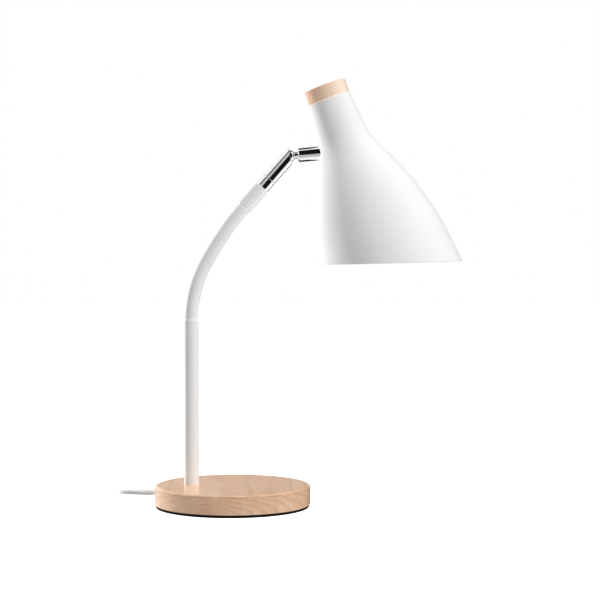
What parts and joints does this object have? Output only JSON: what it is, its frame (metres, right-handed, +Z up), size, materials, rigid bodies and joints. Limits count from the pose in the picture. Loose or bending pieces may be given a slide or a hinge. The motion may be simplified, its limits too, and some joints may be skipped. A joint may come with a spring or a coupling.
{
  "type": "desk lamp",
  "caption": "Desk lamp: round wooden base, bendable white stem, chrome ball knuckle and a white bottle-shaped metal shade with a wooden cap.",
  "frame": {"origin": "centre of the round base, on the underside of its black pad", "axes": "+Z up, along the stem; the shade hangs towards +X; the flex leaves the base at the back left, towards -X and +Y; the picture was taken from -Y"},
  "size_m": [0.3498, 0.2293, 0.4267],
  "materials": {
    "beech": "clear satin lacquer over end-arched beech grain",
    "white_paint": "satin white powder paint",
    "white_sleeve": "satin white",
    "chrome": "polished chrome plate",
    "steel": "bright zinc",
    "brass": "bright, machined",
    "pad_rubber": "matt black",
    "flex_grey": "satin light grey sheath",
    "wire_insulation": "satin insulation",
    "white_plastic": "semi-gloss white",
    "seat_plastic": "natural, matt",
    "rocker_plastic": "dark, fine matt texture"
  },
  "bodies": {
    "root": {"wood_base": "beech", "weight_plate": "steel", "plate_screws": "steel", "base_pad": "pad_rubber", "stem_tube": "white_paint", "stem_nipple": "brass", "stem_nut": "steel", "stem_washer": "steel", "cord_bushing": "white_plastic", "cord_clamp": "white_plastic", "clamp_screws": "steel", "inner_lead": "flex_grey", "stem_wires": "wire_insulation", "neck_socket": "white_sleeve", "cord_lead_a": "flex_grey", "switch_lower_shell": "white_plastic", "switch_upper_shell": "white_plastic", "switch_screws": "steel", "switch_contacts": "brass", "cord_lead_b": "flex_grey", "cord_coil": "flex_grey", "cord_tie": "rocker_plastic", "cord_lead_c": "flex_grey", "plug_body": "white_plastic", "plug_blades": "brass"},
    "rocker": {"switch_rocker": "rocker_plastic"},
    "neck_1": {"neck_core_1": "steel", "neck_sleeve_1": "white_sleeve"},
    "neck_2": {"neck_core_2": "steel", "neck_sleeve_2": "white_sleeve"},
    "neck_3": {"neck_core_3": "steel", "neck_sleeve_3": "white_sleeve"},
    "neck_4": {"neck_core_4": "steel", "neck_sleeve_4": "white_sleeve"},
    "neck_5": {"neck_core_5": "steel", "neck_sleeve_5": "white_sleeve"},
    "neck_6": {"neck_core_6": "steel", "neck_sleeve_6": "white_sleeve"},
    "neck_7": {"neck_core_7": "steel", "neck_sleeve_7": "white_sleeve"},
    "neck_8": {"neck_core_8": "steel", "neck_sleeve_8": "white_sleeve"},
    "ferrule": {"neck_end_fitting": "steel", "neck_ferrule": "white_paint", "knuckle_collar": "chrome"},
    "knuckle": {"knuckle_body": "chrome", "ball_seat": "seat_plastic"},
    "ball": {"ball_stud": "chrome"},
    "head": {"shade_arm": "chrome", "arm_washer": "steel", "arm_nut": "steel", "shade_shell": "white_paint", "wood_cap": "beech", "cap_nipple": "brass", "holder_cap": "white_plastic", "holder_insulator": "seat_plastic", "holder_body": "white_plastic", "contact_sleeve": "brass", "centre_contact": "brass", "head_wires": "wire_insulation"}
  },
  "joints": [
    {"name": "neck_bend", "type": "hinge", "parent": "root", "child": "neck_1", "pos_m": [-0.0409, 0, 0.192], "axis": [0, 1, 0], "range_deg": [-8, 9]},
    {"name": "neck_sway", "type": "hinge", "parent": "neck_1", "child": "neck_2", "pos_m": [-0.03939, 0, 0.20647], "axis": [0.9864, 0, -0.1643], "range_deg": [-9, 9]},
    {"name": "neck_bend_2", "type": "hinge", "parent": "neck_2", "child": "neck_3", "pos_m": [-0.03612, 0, 0.22066], "axis": [0, 1, 0], "range_deg": [-8, 9]},
    {"name": "neck_sway_2", "type": "hinge", "parent": "neck_3", "child": "neck_4", "pos_m": [-0.03114, 0, 0.23433], "axis": [0.9168, 0, -0.3993], "range_deg": [-9, 9]},
    {"name": "neck_bend_3", "type": "hinge", "parent": "neck_4", "child": "neck_5", "pos_m": [-0.02455, 0, 0.24731], "axis": [0, 1, 0], "range_deg": [-8, 9]},
    {"name": "neck_sway_3", "type": "hinge", "parent": "neck_5", "child": "neck_6", "pos_m": [-0.01713, 0, 0.25983], "axis": [0.8502, 0, -0.5265], "range_deg": [-9, 9]},
    {"name": "neck_bend_4", "type": "hinge", "parent": "neck_6", "child": "neck_7", "pos_m": [-0.00922, 0, 0.27206], "axis": [0, 1, 0], "range_deg": [-8, 9]},
    {"name": "neck_sway_4", "type": "hinge", "parent": "neck_7", "child": "neck_8", "pos_m": [-0.00083, 0, 0.28396], "axis": [0.8023, 0, -0.5969], "range_deg": [-9, 9]},
    {"name": "neck_bend_5", "type": "hinge", "parent": "neck_8", "child": "ferrule", "pos_m": [0.00835, 0, 0.29526], "axis": [0, 1, 0], "range_deg": [-8, 9]},
    {"name": "knuckle_turn", "type": "hinge", "parent": "ferrule", "child": "knuckle", "pos_m": [0.03684, 0, 0.32747], "axis": [0.6626, 0, 0.749], "range_deg": [-120, 120]},
    {"name": "knuckle_tilt", "type": "hinge", "parent": "knuckle", "child": "ball", "pos_m": [0.05672, 0, 0.34994], "axis": [0, 1, 0], "range_deg": [-40, 30]},
    {"name": "shade_turn", "type": "hinge", "parent": "ball", "child": "head", "pos_m": [0.05672, 0, 0.34994], "axis": [0.9957, 0, 0.0924], "range_deg": [-150, 150]},
    {"name": "switch_rocker_tilt", "type": "hinge", "parent": "root", "child": "rocker", "pos_m": [-0.036, 0.091, 0.0102], "axis": [0, 1, 0], "range_deg": [-14, 0]}
  ],
  "couplings": [
    {"joint": "neck_bend_2", "follows": "neck_bend", "ratio": 1},
    {"joint": "neck_sway_2", "follows": "neck_sway", "ratio": 1},
    {"joint": "neck_bend_3", "follows": "neck_bend", "ratio": 1},
    {"joint": "neck_sway_3", "follows": "neck_sway", "ratio": 1},
    {"joint": "neck_bend_4", "follows": "neck_bend", "ratio": 1},
    {"joint": "neck_sway_4", "follows": "neck_sway", "ratio": 1},
    {"joint": "neck_bend_5", "follows": "neck_bend", "ratio": 1}
  ]
}
